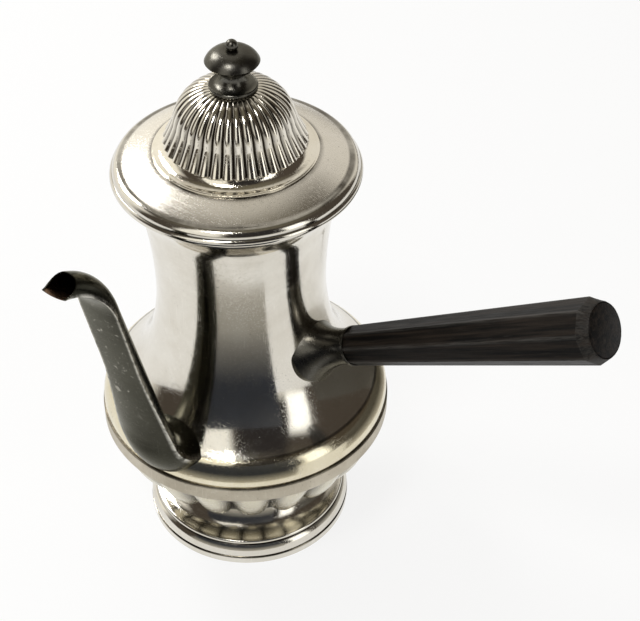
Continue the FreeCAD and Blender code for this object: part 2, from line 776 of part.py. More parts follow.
def pin_body(label, radius):
    """Cylinder across the handle's axis, from the axis down through the socket."""
    body = new_body(label)
    pad = body.newObject("PartDesign::Pad", label + "_pad")
    place = (AXIS, d.socket_end - d.pin_setback, radius)
    pad.Profile = circle_sketch(body, label + "_section", "YZ_Plane", [place])
    length = d.socket_radius + d.socket_lip_height + d.pin_proud
    pad.setExpression("Length", length.text)
    lay_over(body)
    return body


handle_pin = pin_body("handle_pin", d.pin_radius)
pin_hole = pin_body("pin_hole", d.pin_radius + d.solder_gap)
socket_drilled = cut("socket_drilled", socket_blank, pin_hole)
handle_socket = cut("handle_socket", socket_drilled, pot_core)
handle_grip = cut("handle_grip", grip_blank, pin_hole)

# Lid: flange with a rolled edge, a bezel that centres it and the ribbed dome.
bezel_radius = d.mouth_radius - d.wall - d.bezel_clearance
seat_bore = bezel_radius + d.solder_gap
roll_top = rim + d.lid_roll_height
roll_top_radius = d.lid_radius - d.lid_roll_run
lid_plate = turned("lid_plate", [
    (seat_bore, rim),
    (d.lid_radius, rim, swell(d.lid_roll_bulge)),
    (roll_top_radius, roll_top, swell(d.lid_slope_bulge)),
    (d.dome_base_radius, lid_top),
    (d.lid_bore_radius, lid_top),
    (d.lid_bore_radius, lid_under),
    (d.dome_base_radius, lid_under, hollow(d.lid_slope_bulge)),
    (roll_top_radius, roll_top - d.wall, hollow(d.lid_roll_bulge)),
    (d.lid_radius - d.wall, rim + d.wall),
    (seat_bore, rim + d.wall),
])

lid_bezel = turned("lid_bezel", [
    (bezel_radius - d.bezel_wall, rim - d.bezel_depth),
    (bezel_radius, rim - d.bezel_depth),
    (bezel_radius, rim + d.wall),
    (bezel_radius - d.bezel_wall, rim + d.wall),
])


def ribs():
    """Solid of the dome's rounded ribs: tips, hollow bell and round crown."""
    foot = Vector(d.rib_foot_radius.value, cove_top.value, 0)
    waist = Vector(d.bell_radius.value, bell_top.value, 0)
    crown = Vector(d.crown_radius.value, dome_top.value, 0)
    tip = foot + Vector(-d.rib_tip_inset.value, -d.rib_tip_height.value, 0)
    bell_step_count = 3
    crown_step_count = 5
    line = [tip, foot]
    for step in range(1, bell_step_count + 1):
        line.append(arc_point(foot, waist, -d.bell_sweep.value, step / bell_step_count))
    for step in range(1, crown_step_count + 1):
        line.append(arc_point(waist, crown, d.crown_swell.value, step / crown_step_count))
    count = round(d.rib_count.value)
    fullest = line[1].x
    wires = []
    for place in line:
        depth = d.rib_depth.value * math.sqrt(place.x / fullest)
        wires.append(lobed_wire(count, place.x, depth, place.y, 0.0))
    return Part.makeLoft(wires, True, False)


dome_ribs = shaped("dome_ribs", ribs())
dome_moulding = turned("dome_moulding", [
    (AXIS, lid_top),
    (d.dome_base_radius, lid_top),
    (d.dome_base_radius, lid_top + d.dome_base_edge, hollow(d.dome_cove_sweep)),
    (d.dome_cove_radius, cove_top),
    (AXIS, cove_top),
])
dome_sheet = d.wall + d.rib_depth
dome_cavity = turned("dome_cavity", [
    (AXIS, lid_under),
    (d.lid_bore_radius, lid_under),
    (d.lid_bore_radius, lid_top, hollow(d.dome_cove_sweep)),
    (d.dome_cove_radius - dome_sheet, cove_top, hollow(d.bell_sweep)),
    (d.bell_radius - dome_sheet, bell_top, swell(d.crown_swell)),
    (d.crown_radius - dome_sheet, dome_ceiling),
    (AXIS, dome_ceiling),
])
dome_stud_hole = turned("dome_stud_hole", [
    (AXIS, dome_ceiling - d.wall),
    (stud_hole, dome_ceiling - d.wall),
    (stud_hole, dome_top + d.wall),
    (AXIS, dome_top + d.wall),
])
dome_blank = fused("dome_blank", [dome_ribs, dome_moulding])
dome_hollow = fused("dome_hollow", [dome_cavity, dome_stud_hole])
lid_dome = cut("lid_dome", dome_blank, dome_hollow)

# Finial: stem and knob held by a stud with a bead for a head, with a washer and a nut inside the dome.
stem_rim_top = dome_top + d.stem_rim_height
finial_stem = turned("finial_stem", [
    (stud_hole, dome_top),
    (d.stem_rim_radius, dome_top, swell(d.stem_rim_bulge)),
    (d.stem_rim_radius, stem_rim_top),
    (d.stem_dish_radius, stem_rim_top - d.stem_dish_depth, hollow(d.stem_sweep)),
    (d.stem_top_radius, knob_foot),
    (stud_hole, knob_foot),
])
knob_waist = knob_foot + d.knob_waist_height
finial_knob = turned("finial_knob", [
    (stud_hole, knob_foot),
    (d.stem_top_radius, knob_foot, swell(d.knob_under_bulge)),
    (d.knob_radius, knob_waist, swell(d.knob_top_bulge)),
    (d.knob_top_radius, knob_top),
    (stud_hole, knob_top),
])
washer_under = dome_ceiling - d.washer_height
nut_under = washer_under - d.nut_height
finial_stud = turned("finial_stud", [
    (AXIS, nut_under - d.stud_end),
    (d.stud_radius, nut_under - d.stud_end),
    (d.stud_radius, knob_top),
    (d.bead_neck_radius, knob_top, ball()),
    (AXIS, knob_top + d.bead_height),
])
finial_washer = turned("finial_washer", [
    (stud_hole, washer_under),
    (d.washer_radius, washer_under),
    (d.washer_radius, dome_ceiling),
    (stud_hole, dome_ceiling),
])

finial_nut = new_body("finial_nut")
nut_sketch = new_sketch(finial_nut, "nut_section", "XY_Plane")
nut_sketch.setExpression("AttachmentOffset.Base.z", nut_under.text)
half_nut = d.nut_radius / 2
nut_flat = d.nut_radius * Size(math.sqrt(3) / 2, "sqrt(3) / 2")
opposite = Size(-1.0, "-1")
draw_outline(nut_sketch, [
    (d.nut_radius, AXIS),
    (half_nut, nut_flat),
    (half_nut * opposite, nut_flat),
    (d.nut_radius * opposite, AXIS),
    (half_nut * opposite, nut_flat * opposite),
    (half_nut, nut_flat * opposite),
])
nut_bore = nut_sketch.addGeometry(Part.Circle(Vector(), Vector(0, 0, 1), stud_hole.value))
bind(nut_sketch, Sketcher.Constraint("Radius", nut_bore, stud_hole.value), stud_hole)
nut_sketch.addConstraint(Sketcher.Constraint("Coincident", nut_bore, 3, -1, 1))
nut_pad = finial_nut.newObject("PartDesign::Pad", "nut_pad")
nut_pad.Profile = nut_sketch
nut_pad.setExpression("Length", d.nut_height.text)

PIECES = [
    foot_ring, foot_pedestal, lower_bowl, belly_band, upper_body, mouth_ring,
    spout, handle_socket, handle_grip, handle_pin,
    lid_plate, lid_bezel, lid_dome,
    finial_stem, finial_knob, finial_stud, finial_washer, finial_nut,
]

doc.recompute()
for item in doc.Objects:
    if "Invalid" in item.State or "Error" in item.State:
        raise RuntimeError(item.Label + " did not build: " + ", ".join(item.State))
for piece in PIECES:
    shape = piece.Shape
    if shape.isNull() or not shape.isValid() or len(shape.Solids) != 1:
        raise RuntimeError(piece.Label + " is not one sound solid")

os.makedirs("parts", exist_ok=True)
for piece in PIECES:
    piece.Shape.exportStep("parts/" + piece.Label + ".step")
    print(piece.Label, round(piece.Shape.Volume / 1000, 2), "cubic centimetres")
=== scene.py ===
# Looks of the silver-plated coffee pot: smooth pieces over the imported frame, procedural finishes,
# a white floor, soft light and a camera at the photograph's angle. Lengths of the pot and the camera
# are millimetres, and those of the stage are metres.
import math

import bpy
from mathutils import Matrix, Vector


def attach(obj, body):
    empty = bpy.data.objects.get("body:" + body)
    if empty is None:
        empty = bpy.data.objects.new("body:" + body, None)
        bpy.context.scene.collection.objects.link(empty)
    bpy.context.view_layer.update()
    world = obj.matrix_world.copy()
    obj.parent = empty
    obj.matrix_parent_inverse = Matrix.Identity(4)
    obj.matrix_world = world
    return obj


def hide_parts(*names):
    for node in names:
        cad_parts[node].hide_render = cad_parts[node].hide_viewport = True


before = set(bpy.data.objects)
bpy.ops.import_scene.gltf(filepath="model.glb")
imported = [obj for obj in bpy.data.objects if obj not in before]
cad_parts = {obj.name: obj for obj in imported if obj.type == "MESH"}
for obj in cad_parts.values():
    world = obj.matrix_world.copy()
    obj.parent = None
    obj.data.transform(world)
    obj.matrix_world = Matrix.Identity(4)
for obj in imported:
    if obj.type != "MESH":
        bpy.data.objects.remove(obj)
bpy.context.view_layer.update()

MM = 0.001
ON_AXIS = 0.001
ARC_STEPS = 12
TURN_STEPS = 180
FINIAL_STEPS = 96
SMOOTH_ANGLE = math.radians(32)

# Heights above the table.
RING_STEP = 3.0
RING_TOP = 9.4
BOWL_FLOOR = 22.0
STRIP_FOOT = 57.9
LEDGE = 64.8
JOINT = 70.0
CREASE = 76.8
SHOULDER_TOP = 101.4
NECK = 128.0
THROAT = 164.0
MOUTH_FOOT = 176.0
MOUTH_RING_FOOT = 179.9
RIM = 183.5
ROLL_TOP = 186.7
LID_TOP = 190.6
COVE_TOP = 195.9
BELL_TOP = 206.9
DOME_TOP = 218.4
KNOB_FOOT = 225.4
KNOB_TOP = 234.4

# Radii from the upright axis.
STRIP_RADIUS = 61.4
BAND_RADIUS = 60.5
JOINT_RADIUS = 56.0
SHOULDER_RADIUS = 38.4
NECK_RADIUS = 34.7
THROAT_RADIUS = 37.9
MOUTH_RADIUS = 43.5
LID_RADIUS = 48.0
ROLL_RADIUS = 44.2
BEZEL_RADIUS = 42.0
DOME_BASE = 32.2
DOME_HOLE = 28.0
STUD_HOLE = 1.55

WALL = 1.2
GAP = 0.05
HANDLE_HEIGHT = CREASE + 7.8
HANDLE_TILT = 30.0


# Curves and meshes

def arc(start, end, bulge, steps=ARC_STEPS):
    """Points from start to just before end; a positive bulge swells to the right of the way."""
    chord = math.hypot(end[0] - start[0], end[1] - start[1])
    right = ((end[1] - start[1]) / chord, (start[0] - end[0]) / chord)
    half = 2 * math.atan2(2 * bulge, chord)
    depth = chord / (2 * math.tan(half))
    centre = ((start[0] + end[0]) / 2 - right[0] * depth, (start[1] + end[1]) / 2 - right[1] * depth)
    across, up = start[0] - centre[0], start[1] - centre[1]
    points = []
    for step in range(steps):
        turn = 2 * half * step / steps
        points.append((
            centre[0] + across * math.cos(turn) - up * math.sin(turn),
            centre[1] + across * math.sin(turn) + up * math.cos(turn),
        ))
    return points


def outline(corners):
    """Closed outline of (radius, height) corners; a third value is the bulge of the arc that leaves it."""
    points = []
    for index, corner in enumerate(corners):
        following = corners[(index + 1) % len(corners)]
        if len(corner) > 2:
            points += arc(corner[:2], following[:2], corner[2])
        else:
            points.append(corner)
    return points


def circle(radius, height, steps=TURN_STEPS, turn=0.0):
    """A level ring of points."""
    ring = []
    for step in range(steps):
        angle = turn + 2 * math.pi * step / steps
        ring.append((radius * math.cos(angle), radius * math.sin(angle), height))
    return ring


def lobed(crest, depth, height, count, turn, steps):
    """A level ring of rounded lobes with sharp grooves between them."""
    step_angle = 2 * math.pi / count
    valley = crest - depth
    swell = crest - valley * math.cos(step_angle / 2)
    ring = []
    for lobe in range(count):
        before = turn + (lobe - 0.5) * step_angle
        after = before + step_angle
        start = (valley * math.cos(before), valley * math.sin(before))
        end = (valley * math.cos(after), valley * math.sin(after))
        ring += [(x, y, height) for x, y in arc(start, end, swell, steps)]
    return ring


def add_object(name, data):
    """A new object in the scene."""
    thing = bpy.data.objects.new(name, data)
    bpy.context.scene.collection.objects.link(thing)
    return thing


def side_faces(low, high, count):
    """Four-sided faces between two rings of points, each given by the number of its first point."""
    faces = []
    for step in range(count):
        following = (step + 1) % count
        faces.append((low + step, low + following, high + following, high + step))
    return faces


def skin(name, rings, marks=None):
    """A closed mesh through rings of points; the last ring joins the first. Marks are kept per point."""
    count = len(rings[0])
    points = [Vector(point) * MM for ring in rings for point in ring]
    faces = []
    for index in range(len(rings)):
        faces += side_faces(index * count, (index + 1) % len(rings) * count, count)
    mesh = bpy.data.meshes.new(name)
    mesh.from_pydata(points, [], faces)
    for mark, values in (marks or {}).items():
        attribute = mesh.attributes.new(mark, "FLOAT", "POINT")
        attribute.data.foreach_set("value", values)
    return add_object(name, mesh)


def drum(name, first, last):
    """A closed solid between two like rings of points."""
    count = len(first)
    points = [Vector(point) * MM for point in first + last]
    ends = [tuple(range(count))[::-1], tuple(range(count, 2 * count))]
    mesh = bpy.data.meshes.new(name)
    mesh.from_pydata(points, [], side_faces(0, count, count) + ends)
    return add_object(name, mesh)


def turned(name, corners, steps=TURN_STEPS):
    """A piece turned about the upright axis from half its outline."""
    return skin(name, [circle(max(radius, ON_AXIS), height, steps) for radius, height in outline(corners)])


def carve(piece, cutter):
    """Takes the cutter out of the piece and drops the cutter."""
    cutting = piece.modifiers.new("carve", "BOOLEAN")
    cutting.operation = "DIFFERENCE"
    cutting.solver = "EXACT"
    cutting.object = cutter
    seen = piece.evaluated_get(bpy.context.evaluated_depsgraph_get())
    carved = bpy.data.meshes.new_from_object(seen)
    piece.modifiers.clear()
    piece.data = carved
    bpy.data.objects.remove(cutter)


def settle(piece, body, node, slot, *materials):
    """Smooth shading and materials, the body that a piece rides on and the node that it stands for."""
    piece.data.shade_smooth()
    piece.data.set_sharp_from_angle(angle=SMOOTH_ANGLE)
    piece.data.materials.clear()
    for material in materials:
        piece.data.materials.append(material)
    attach(piece, body)
    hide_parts(node)


# Materials

class Graph:
    """Adds shader nodes to one node tree and links them."""

    def __init__(self, tree, coordinates):
        self.tree = tree
        self.place = self.add("ShaderNodeTexCoord").outputs[coordinates]

    def add(self, kind, **settings):
        node = self.tree.nodes.new(kind)
        for key, value in settings.items():
            setattr(node, key, value)
        return node

    def feed(self, socket, value):
        if isinstance(value, bpy.types.NodeSocket):
            self.tree.links.new(value, socket)
        else:
            socket.default_value = value

    def mapped(self, scale, turn, kind="POINT"):
        node = self.add("ShaderNodeMapping", vector_type=kind)
        self.feed(node.inputs["Vector"], self.place)
        node.inputs["Scale"].default_value = scale
        node.inputs["Rotation"].default_value = turn
        return node.outputs["Vector"]

    def noise(self, vector, scale, detail=4.0, rough=0.55, warp=0.0):
        node = self.add("ShaderNodeTexNoise")
        self.feed(node.inputs["Vector"], vector)
        node.inputs["Scale"].default_value = scale
        node.inputs["Detail"].default_value = detail
        node.inputs["Roughness"].default_value = rough
        node.inputs["Distortion"].default_value = warp
        return node.outputs["Fac"]

    def cells(self, scale):
        node = self.add("ShaderNodeTexVoronoi")
        self.feed(node.inputs["Vector"], self.place)
        node.inputs["Scale"].default_value = scale
        return node.outputs["Distance"]

    def level(self):
        node = self.add("ShaderNodeSeparateXYZ")
        self.feed(node.inputs[0], self.place)
        return node.outputs["Z"]

    def along(self, direction):
        node = self.add("ShaderNodeVectorMath", operation="DOT_PRODUCT")
        self.feed(node.inputs[0], self.place)
        node.inputs[1].default_value = direction
        return node.outputs["Value"]

    def mark(self, name):
        return self.add("ShaderNodeAttribute", attribute_name=name).outputs["Fac"]

    def between(self, value, low, high, to_low=0.0, to_high=1.0):
        node = self.add("ShaderNodeMapRange", clamp=True)
        for socket, part in zip(node.inputs, (value, low, high, to_low, to_high)):
            self.feed(socket, part)
        return node.outputs["Result"]

    def math(self, operation, first, second):
        node = self.add("ShaderNodeMath", operation=operation)
        self.feed(node.inputs[0], first)
        self.feed(node.inputs[1], second)
        return node.outputs[0]

    def mix(self, share, first, second):
        node = self.add("ShaderNodeMix", data_type="RGBA")
        colours = [socket for socket in node.inputs if socket.type == "RGBA"]
        self.feed(node.inputs[0], share)
        self.feed(colours[0], first)
        self.feed(colours[1], second)
        return next(socket for socket in node.outputs if socket.type == "RGBA")


class Finish(Graph):
    """A new material and the nodes of its shader."""

    def __init__(self, name):
        self.material = bpy.data.materials.new(name)
        self.material.use_nodes = True
        super().__init__(self.material.node_tree, "Object")
        self.shader = self.tree.nodes["Principled BSDF"]

    def bump(self, height, strength, distance):
        node = self.add("ShaderNodeBump")
        self.feed(node.inputs["Height"], height)
        node.inputs["Strength"].default_value = strength
        node.inputs["Distance"].default_value = distance
        self.feed(self.shader.inputs["Normal"], node.outputs["Normal"])


def colour(red, green, blue):
    return red, green, blue, 1.0


HAIR_TINT = colour(0.95, 0.92, 0.85)
PIT_TINT = colour(0.05, 0.04, 0.03)
SEAM_DIRT_AND_SHADE_TINT = colour(0.035, 0.028, 0.020)
DARK_EDGE_TINT = colour(0.86, 0.85, 0.79)

# Heights of the soldered and rolled lines that are darkened with tarnish and painted crevice shade, with
# half the width of each dark line.
SEAMS = [
    (RING_STEP, 0.4), (RING_TOP, 0.45), (BOWL_FLOOR, 0.9), (STRIP_FOOT, 0.5), (LEDGE, 0.5), (CREASE, 0.55),
    (MOUTH_RING_FOOT, 0.7), (RIM, 0.5), (ROLL_TOP, 0.5), (LID_TOP, 0.4),
]


def seam_dirt_and_shade(graph, patches):
    """Tarnish and painted crevice shade along the seams, broken up by patches."""
    level = graph.level()
    dirt_and_shade = 0.0
    for height, half in SEAMS:
        away = graph.math("ABSOLUTE", graph.math("SUBTRACT", level, height * MM), 0.0)
        dirt_and_shade = graph.math("MAXIMUM", dirt_and_shade, graph.between(away, half * MM, 0.25 * half * MM))
    return graph.math("MULTIPLY", dirt_and_shade, graph.between(patches, 0.35, 0.65, 0.30, 0.90))


def hairlines(graph):
    """Fine scratches in two directions."""
    first = graph.noise(graph.mapped((90, 2200, 2200), (0.3, 0.9, 0.5)), 1.0, 2.0)
    second = graph.noise(graph.mapped((2000, 2000, 80), (0.7, 0.2, 1.3)), 1.0, 2.0)
    return graph.math("MAXIMUM", graph.between(first, 0.60, 0.70), graph.between(second, 0.61, 0.71))


def pitting(graph, share):
    """Small pits, gathered in patches."""
    spots = graph.between(graph.cells(560.0), 0.06, 0.16, 1.0, 0.0)
    patches = graph.between(graph.noise(graph.place, 120.0, 2.0), 0.48, 0.62)
    return graph.math("MULTIPLY", graph.math("MULTIPLY", spots, patches), share)


def plate(name, bright, dull, smooth, rough, scratch=0.10, pits=0.5, hollow_tint_and_shade=None, edge_wear_and_highlight=None, wear=None,
          dark=False):
    """Worn metal: cloudy tarnish, hairline scratches, pits, and the colours of hollows (tarnish with painted
    shade in the grooves, rust inside the spout), of ridges (wear with a painted highlight) and of wear.
    """
    graph = Finish(name)
    clouds = graph.noise(graph.place, 46.0, 6.0, 0.6, 0.4)
    fine = graph.noise(graph.place, 420.0, 3.0)
    hair = hairlines(graph)
    pit = pitting(graph, pits)
    tint = graph.mix(graph.between(clouds, 0.35, 0.68), bright, dull)
    tint = graph.mix(graph.math("MULTIPLY", hair, 0.03 if dark else 0.22), tint, HAIR_TINT)
    # Hollows: tarnish with painted shade in the grooves of lobes and ribs, rust inside the spout.
    if hollow_tint_and_shade:
        tint = graph.mix(graph.mark("hollow_tint_and_shade"), tint, hollow_tint_and_shade)
    # Ridges: worn metal with a painted highlight.
    if edge_wear_and_highlight:
        worn_and_highlit = graph.math("MULTIPLY", graph.mark("edge_wear_and_highlight"), graph.between(fine, 0.30, 0.55))
        tint = graph.mix(worn_and_highlit, tint, edge_wear_and_highlight)
    if wear:
        flecks = graph.between(graph.noise(graph.place, 300.0, 6.0, 0.65, 0.8), 0.60, 0.66)
        tint = graph.mix(graph.math("MULTIPLY", graph.mark("wear"), flecks), tint, wear)
    if not dark:
        # Seams: tarnish with painted crevice shade.
        tint = graph.mix(seam_dirt_and_shade(graph, clouds), tint, SEAM_DIRT_AND_SHADE_TINT)
    tint = graph.mix(pit, tint, PIT_TINT)
    graph.feed(graph.shader.inputs["Base Color"], tint)
    graph.shader.inputs["Metallic"].default_value = 1.0
    if dark:
        graph.shader.inputs["Specular Tint"].default_value = DARK_EDGE_TINT
    cloudy = graph.math("ADD", clouds, graph.math("MULTIPLY", fine, 0.5))
    sheen = graph.between(cloudy, 0.5, 1.0, smooth, rough)
    sheen = graph.math("ADD", sheen, graph.math("MULTIPLY", hair, 0.04 if dark else 0.10))
    sheen = graph.math("ADD", sheen, graph.math("MULTIPLY", pit, 0.3))
    graph.feed(graph.shader.inputs["Roughness"], sheen)
    relief = graph.math("SUBTRACT", graph.math("MULTIPLY", fine, 0.35), graph.math("ADD", hair, pit))
    graph.bump(relief, scratch, 0.0002)
    return graph.material


def ebony(name):
    """Black-brown wood with lengthwise grain, greyer along its edges and bevelled end: wear with a painted
    highlight.
    """
    graph = Finish(name)

    def stretched(lengthwise, across):
        """Object coordinates turned to the handle and stretched along it."""
        scale = (1 / lengthwise, 1 / across, 1 / across)
        return graph.mapped(scale, (0, -math.radians(HANDLE_TILT), 0), "TEXTURE")

    grain = graph.noise(stretched(11, 520), 1.0, 5.0, 0.6, 0.25)
    pores = graph.noise(stretched(70, 1700), 1.0, 3.0)
    broad = graph.noise(stretched(14, 60), 1.0, 3.0)
    streaks = graph.between(grain, 0.42, 0.72)
    tint = graph.mix(streaks, colour(0.0016, 0.0013, 0.0011), colour(0.027, 0.0195, 0.0145))
    bands = graph.math("MULTIPLY", graph.between(broad, 0.45, 0.7), 0.5)
    tint = graph.mix(bands, tint, colour(0.008, 0.0065, 0.0055))
    # Lighter edges and bevelled end: wear with a painted highlight.
    worn_and_highlit = graph.math("MULTIPLY", graph.mark("edge_wear_and_highlight"), graph.between(pores, 0.35, 0.65, 0.15, 0.9))
    tint = graph.mix(worn_and_highlit, tint, colour(0.085, 0.080, 0.074))
    tint = graph.mix(graph.between(pores, 0.63, 0.72, 0.0, 0.5), tint, colour(0.035, 0.031, 0.027))
    graph.feed(graph.shader.inputs["Base Color"], tint)
    graph.shader.inputs["Specular IOR Level"].default_value = 0.11
    graph.feed(graph.shader.inputs["Roughness"], graph.between(pores, 0.3, 0.7, 0.36, 0.55))
    graph.bump(graph.math("ADD", graph.math("MULTIPLY", grain, 0.6), pores), 0.22, 0.0003)
    return graph.material


SILVER = plate("silver_polished", colour(0.74, 0.71, 0.64), colour(0.66, 0.62, 0.54), 0.05, 0.16, 0.06, 0.35)
SATIN = plate("silver_satin", colour(0.76, 0.72, 0.65), colour(0.71, 0.67, 0.59), 0.22, 0.30, 0.12)
GOLDEN = plate("silver_warm", colour(0.80, 0.74, 0.57), colour(0.68, 0.61, 0.44), 0.07, 0.18)
MATTE = plate("silver_matte", colour(0.58, 0.53, 0.43), colour(0.46, 0.41, 0.32), 0.34, 0.50, 0.25, 1.0)
# Groove colours of the lobes and ribs: tarnish with painted shade.
LOBES = plate("silver_lobes", colour(0.64, 0.60, 0.47), colour(0.54, 0.49, 0.37), 0.16, 0.28, 0.14, 0.8,
              hollow_tint_and_shade=colour(0.035, 0.027, 0.018))
RIBS = plate("silver_ribs", colour(0.86, 0.82, 0.73), colour(0.74, 0.68, 0.56), 0.04, 0.11, 0.08, 0.3,
             hollow_tint_and_shade=colour(0.030, 0.021, 0.014))
DARK = plate("dark_metal", colour(0.115, 0.110, 0.096), colour(0.070, 0.065, 0.055), 0.20, 0.36, 0.12, 0.6,
             dark=True)
# Ridge colour of the spout: worn metal with a painted highlight.
SPOUT = plate("dark_spout", colour(0.036, 0.035, 0.026), colour(0.020, 0.019, 0.014), 0.15, 0.28, 0.12, 0.8,
              hollow_tint_and_shade=colour(0.20, 0.12, 0.075), edge_wear_and_highlight=colour(0.62, 0.60, 0.54),
              wear=colour(0.50, 0.48, 0.43), dark=True)
PLAIN = plate("plain_metal", colour(0.52, 0.51, 0.48), colour(0.42, 0.40, 0.37), 0.25, 0.40)
WOOD = ebony("ebony")


# Foot

settle(turned("foot_ring_turned", [
    (39.4, 0.0), (44.6, 0.0), (44.6, RING_STEP), (44.0, RING_STEP, 1.2), (42.2, RING_TOP), (39.4, RING_TOP),
]), "pot", "foot_ring", "silver_plate", SILVER)

settle(turned("foot_pedestal_turned", [
    (40.6, RING_TOP), (41.8, RING_TOP, 0.6), (41.8, 11.3, -2.6), (30.5, 21.2), (30.5, BOWL_FLOOR),
    (18.0, BOWL_FLOOR), (18.0, BOWL_FLOOR - WALL), (29.3, BOWL_FLOOR - WALL, 2.6),
]), "pot", "foot_pedestal", "silver_plate", SILVER)


# Lower bowl

LOBE_COUNT = 20
LOBE_STEPS = 16
LOBE_RINGS = 30
LOBE_TURN = math.radians(2.0)
# Share of a lobe over which its groove darkening, tarnish with painted shade, falls off.
LOBE_VALLEY = 0.33
BOWL_SWELL = 4.1
STRIP_EASE = 0.4
# The round end of each tongue as shares of the way up: where it is lowest, its rise and its slope.
TONGUE_END = 0.40
TONGUE_ROUND = 0.30
TONGUE_SLOPE = 0.07


def valley_tarnish_and_shade_marks(rings, steps, shares, valleys):
    """Tarnish and painted shade: one in the grooves of each lobed ring, falling off over the valley; nothing
    on the plain rings.
    """
    values = []
    for ring, strength, valley in zip(rings, shares, valleys):
        for index in range(len(ring)):
            away = min(index % steps, steps - index % steps)
            values.append(strength * max(0.0, 1.0 - away / (valley * steps)))
    return values


def tongue_point(point, plain, rise, number):
    """A point of a lobe, sunk to the plain bowl below the round end of its tongue."""
    aside = abs(2 * (number % LOBE_STEPS) / LOBE_STEPS - 1)
    end = TONGUE_END + TONGUE_ROUND * (1 - math.sqrt(1 - aside ** 2))
    share = max(0.0, min(1.0, (rise - end) / TONGUE_SLOPE + 0.5))
    share = share * share * (3 - 2 * share)
    radius = math.hypot(point[0], point[1])
    scale = (plain + (radius - plain) * share) / radius if radius > plain else 1.0
    return point[0] * scale, point[1] * scale, point[2]


def lower_bowl():
    """Gadroons from the flat bottom to the strip, the strip, the collar and the inside."""
    low, high = (34.0, BOWL_FLOOR), (60.0, STRIP_FOOT)
    side = arc(low, high, BOWL_SWELL, LOBE_RINGS) + [high]
    rings = []
    for index, (radius, height) in enumerate(side):
        rise = index / LOBE_RINGS
        depth = 0.9 + 4.2 * math.sin(math.pi * rise) ** 0.7
        plain = radius - 0.75 * depth
        ring = lobed(radius, depth, height, LOBE_COUNT, LOBE_TURN, LOBE_STEPS)
        rings.append([tongue_point(point, plain, rise, number) for number, point in enumerate(ring)])
    shares = [1.0] * len(rings)
    inside = arc((27.0, BOWL_FLOOR + WALL), (51.5, STRIP_FOOT), BOWL_SWELL)
    inside += [(51.5, STRIP_FOOT), (JOINT_RADIUS - WALL, STRIP_FOOT + 2.0)]
    rest = [
        (STRIP_RADIUS - STRIP_EASE, STRIP_FOOT), (STRIP_RADIUS, STRIP_FOOT + STRIP_EASE),
        (STRIP_RADIUS, LEDGE - STRIP_EASE), (STRIP_RADIUS - STRIP_EASE, LEDGE), (JOINT_RADIUS, LEDGE),
        (JOINT_RADIUS, JOINT), (JOINT_RADIUS - WALL, JOINT), *reversed(inside),
        (ON_AXIS, BOWL_FLOOR + WALL), (ON_AXIS, BOWL_FLOOR),
    ]
    start = LOBE_TURN - math.pi / LOBE_COUNT
    rings += [circle(radius, height, LOBE_COUNT * LOBE_STEPS, start) for radius, height in rest]
    shares += [0.0] * len(rest)
    marks = valley_tarnish_and_shade_marks(rings, LOBE_STEPS, shares, [LOBE_VALLEY] * len(rings))
    piece = skin("lower_bowl_lobed", rings, {"hollow_tint_and_shade": marks})
    settle(piece, "pot", "lower_bowl", "silver_plate", LOBES, MATTE)
    for face in piece.data.polygons:
        face.material_index = 1 if face.center.z > STRIP_FOOT * MM - 1e-5 else 0


lower_bowl()

BAND_SWELL = 2.0

settle(turned("belly_band_turned", [
    (JOINT_RADIUS + GAP, LEDGE), (59.9, LEDGE), (BAND_RADIUS, LEDGE + 0.3, BAND_SWELL),
    (JOINT_RADIUS + GAP, CREASE),
]), "pot", "belly_band", "silver_plate", GOLDEN)


# Upper body and mouth

def upper_side(gap):
    """Outside of the upper body from the crease to the mouth, moved out by a gap."""
    return [
        (JOINT_RADIUS + gap, CREASE, -2.6), (SHOULDER_RADIUS + gap, SHOULDER_TOP, -0.92),
        (NECK_RADIUS + gap, NECK, -0.8), (THROAT_RADIUS + gap, THROAT, -1.0),
        (MOUTH_RADIUS + gap, MOUTH_FOOT),
    ]


def upper_inside():
    """Inside of the upper body from the rim down to the joint."""
    return [
        (MOUTH_RADIUS - WALL, RIM), (MOUTH_RADIUS - WALL, MOUTH_FOOT, 1.0),
        (THROAT_RADIUS - WALL, THROAT, 0.8), (NECK_RADIUS - WALL, NECK, 0.92),
        (SHOULDER_RADIUS - WALL, SHOULDER_TOP, 2.6),
        (JOINT_RADIUS - WALL, CREASE - WALL), (JOINT_RADIUS - WALL, JOINT),
    ]


settle(turned("upper_body_turned", [
    (JOINT_RADIUS, JOINT), *upper_side(0.0), (MOUTH_RADIUS, RIM), *upper_inside(),
]), "pot", "upper_body", "silver_plate", SILVER)

settle(turned("mouth_ring_turned", [
    (MOUTH_RADIUS + GAP, MOUTH_RING_FOOT), (47.2, MOUTH_RING_FOOT, 1.8), (47.2, RIM),
    (MOUTH_RADIUS + GAP, RIM),
]), "pot", "mouth_ring", "silver_plate", SILVER)


def pot_core():
    """Outside of the pot with a small gap, to which the spout and the socket are cut."""
    return turned("pot_core", [
        (0.0, BOWL_FLOOR), (STRIP_RADIUS + GAP, BOWL_FLOOR), (STRIP_RADIUS + GAP, LEDGE + GAP),
        (BAND_RADIUS + GAP, LEDGE + GAP, BAND_SWELL), *upper_side(GAP), (MOUTH_RADIUS + GAP, RIM),
        (0.0, RIM),
    ])


# Spout

RISER_ANGLE = math.radians(76.6)
TIP_ANGLE = math.radians(17.8)
SPOUT_START = 42.0
ELBOW_REACH = STRIP_RADIUS + 0.7
ELBOW_HEIGHT = CREASE - 1.8
ELBOW_BEND = 19.0
RISER_LENGTH = 113.4
TIP_BEND = 28.5
TIP_LENGTH = 17.6
ELBOW_STEPS = 10
RISER_STEPS = 24
TIP_STEPS = 18
SECTION_STEPS = 14
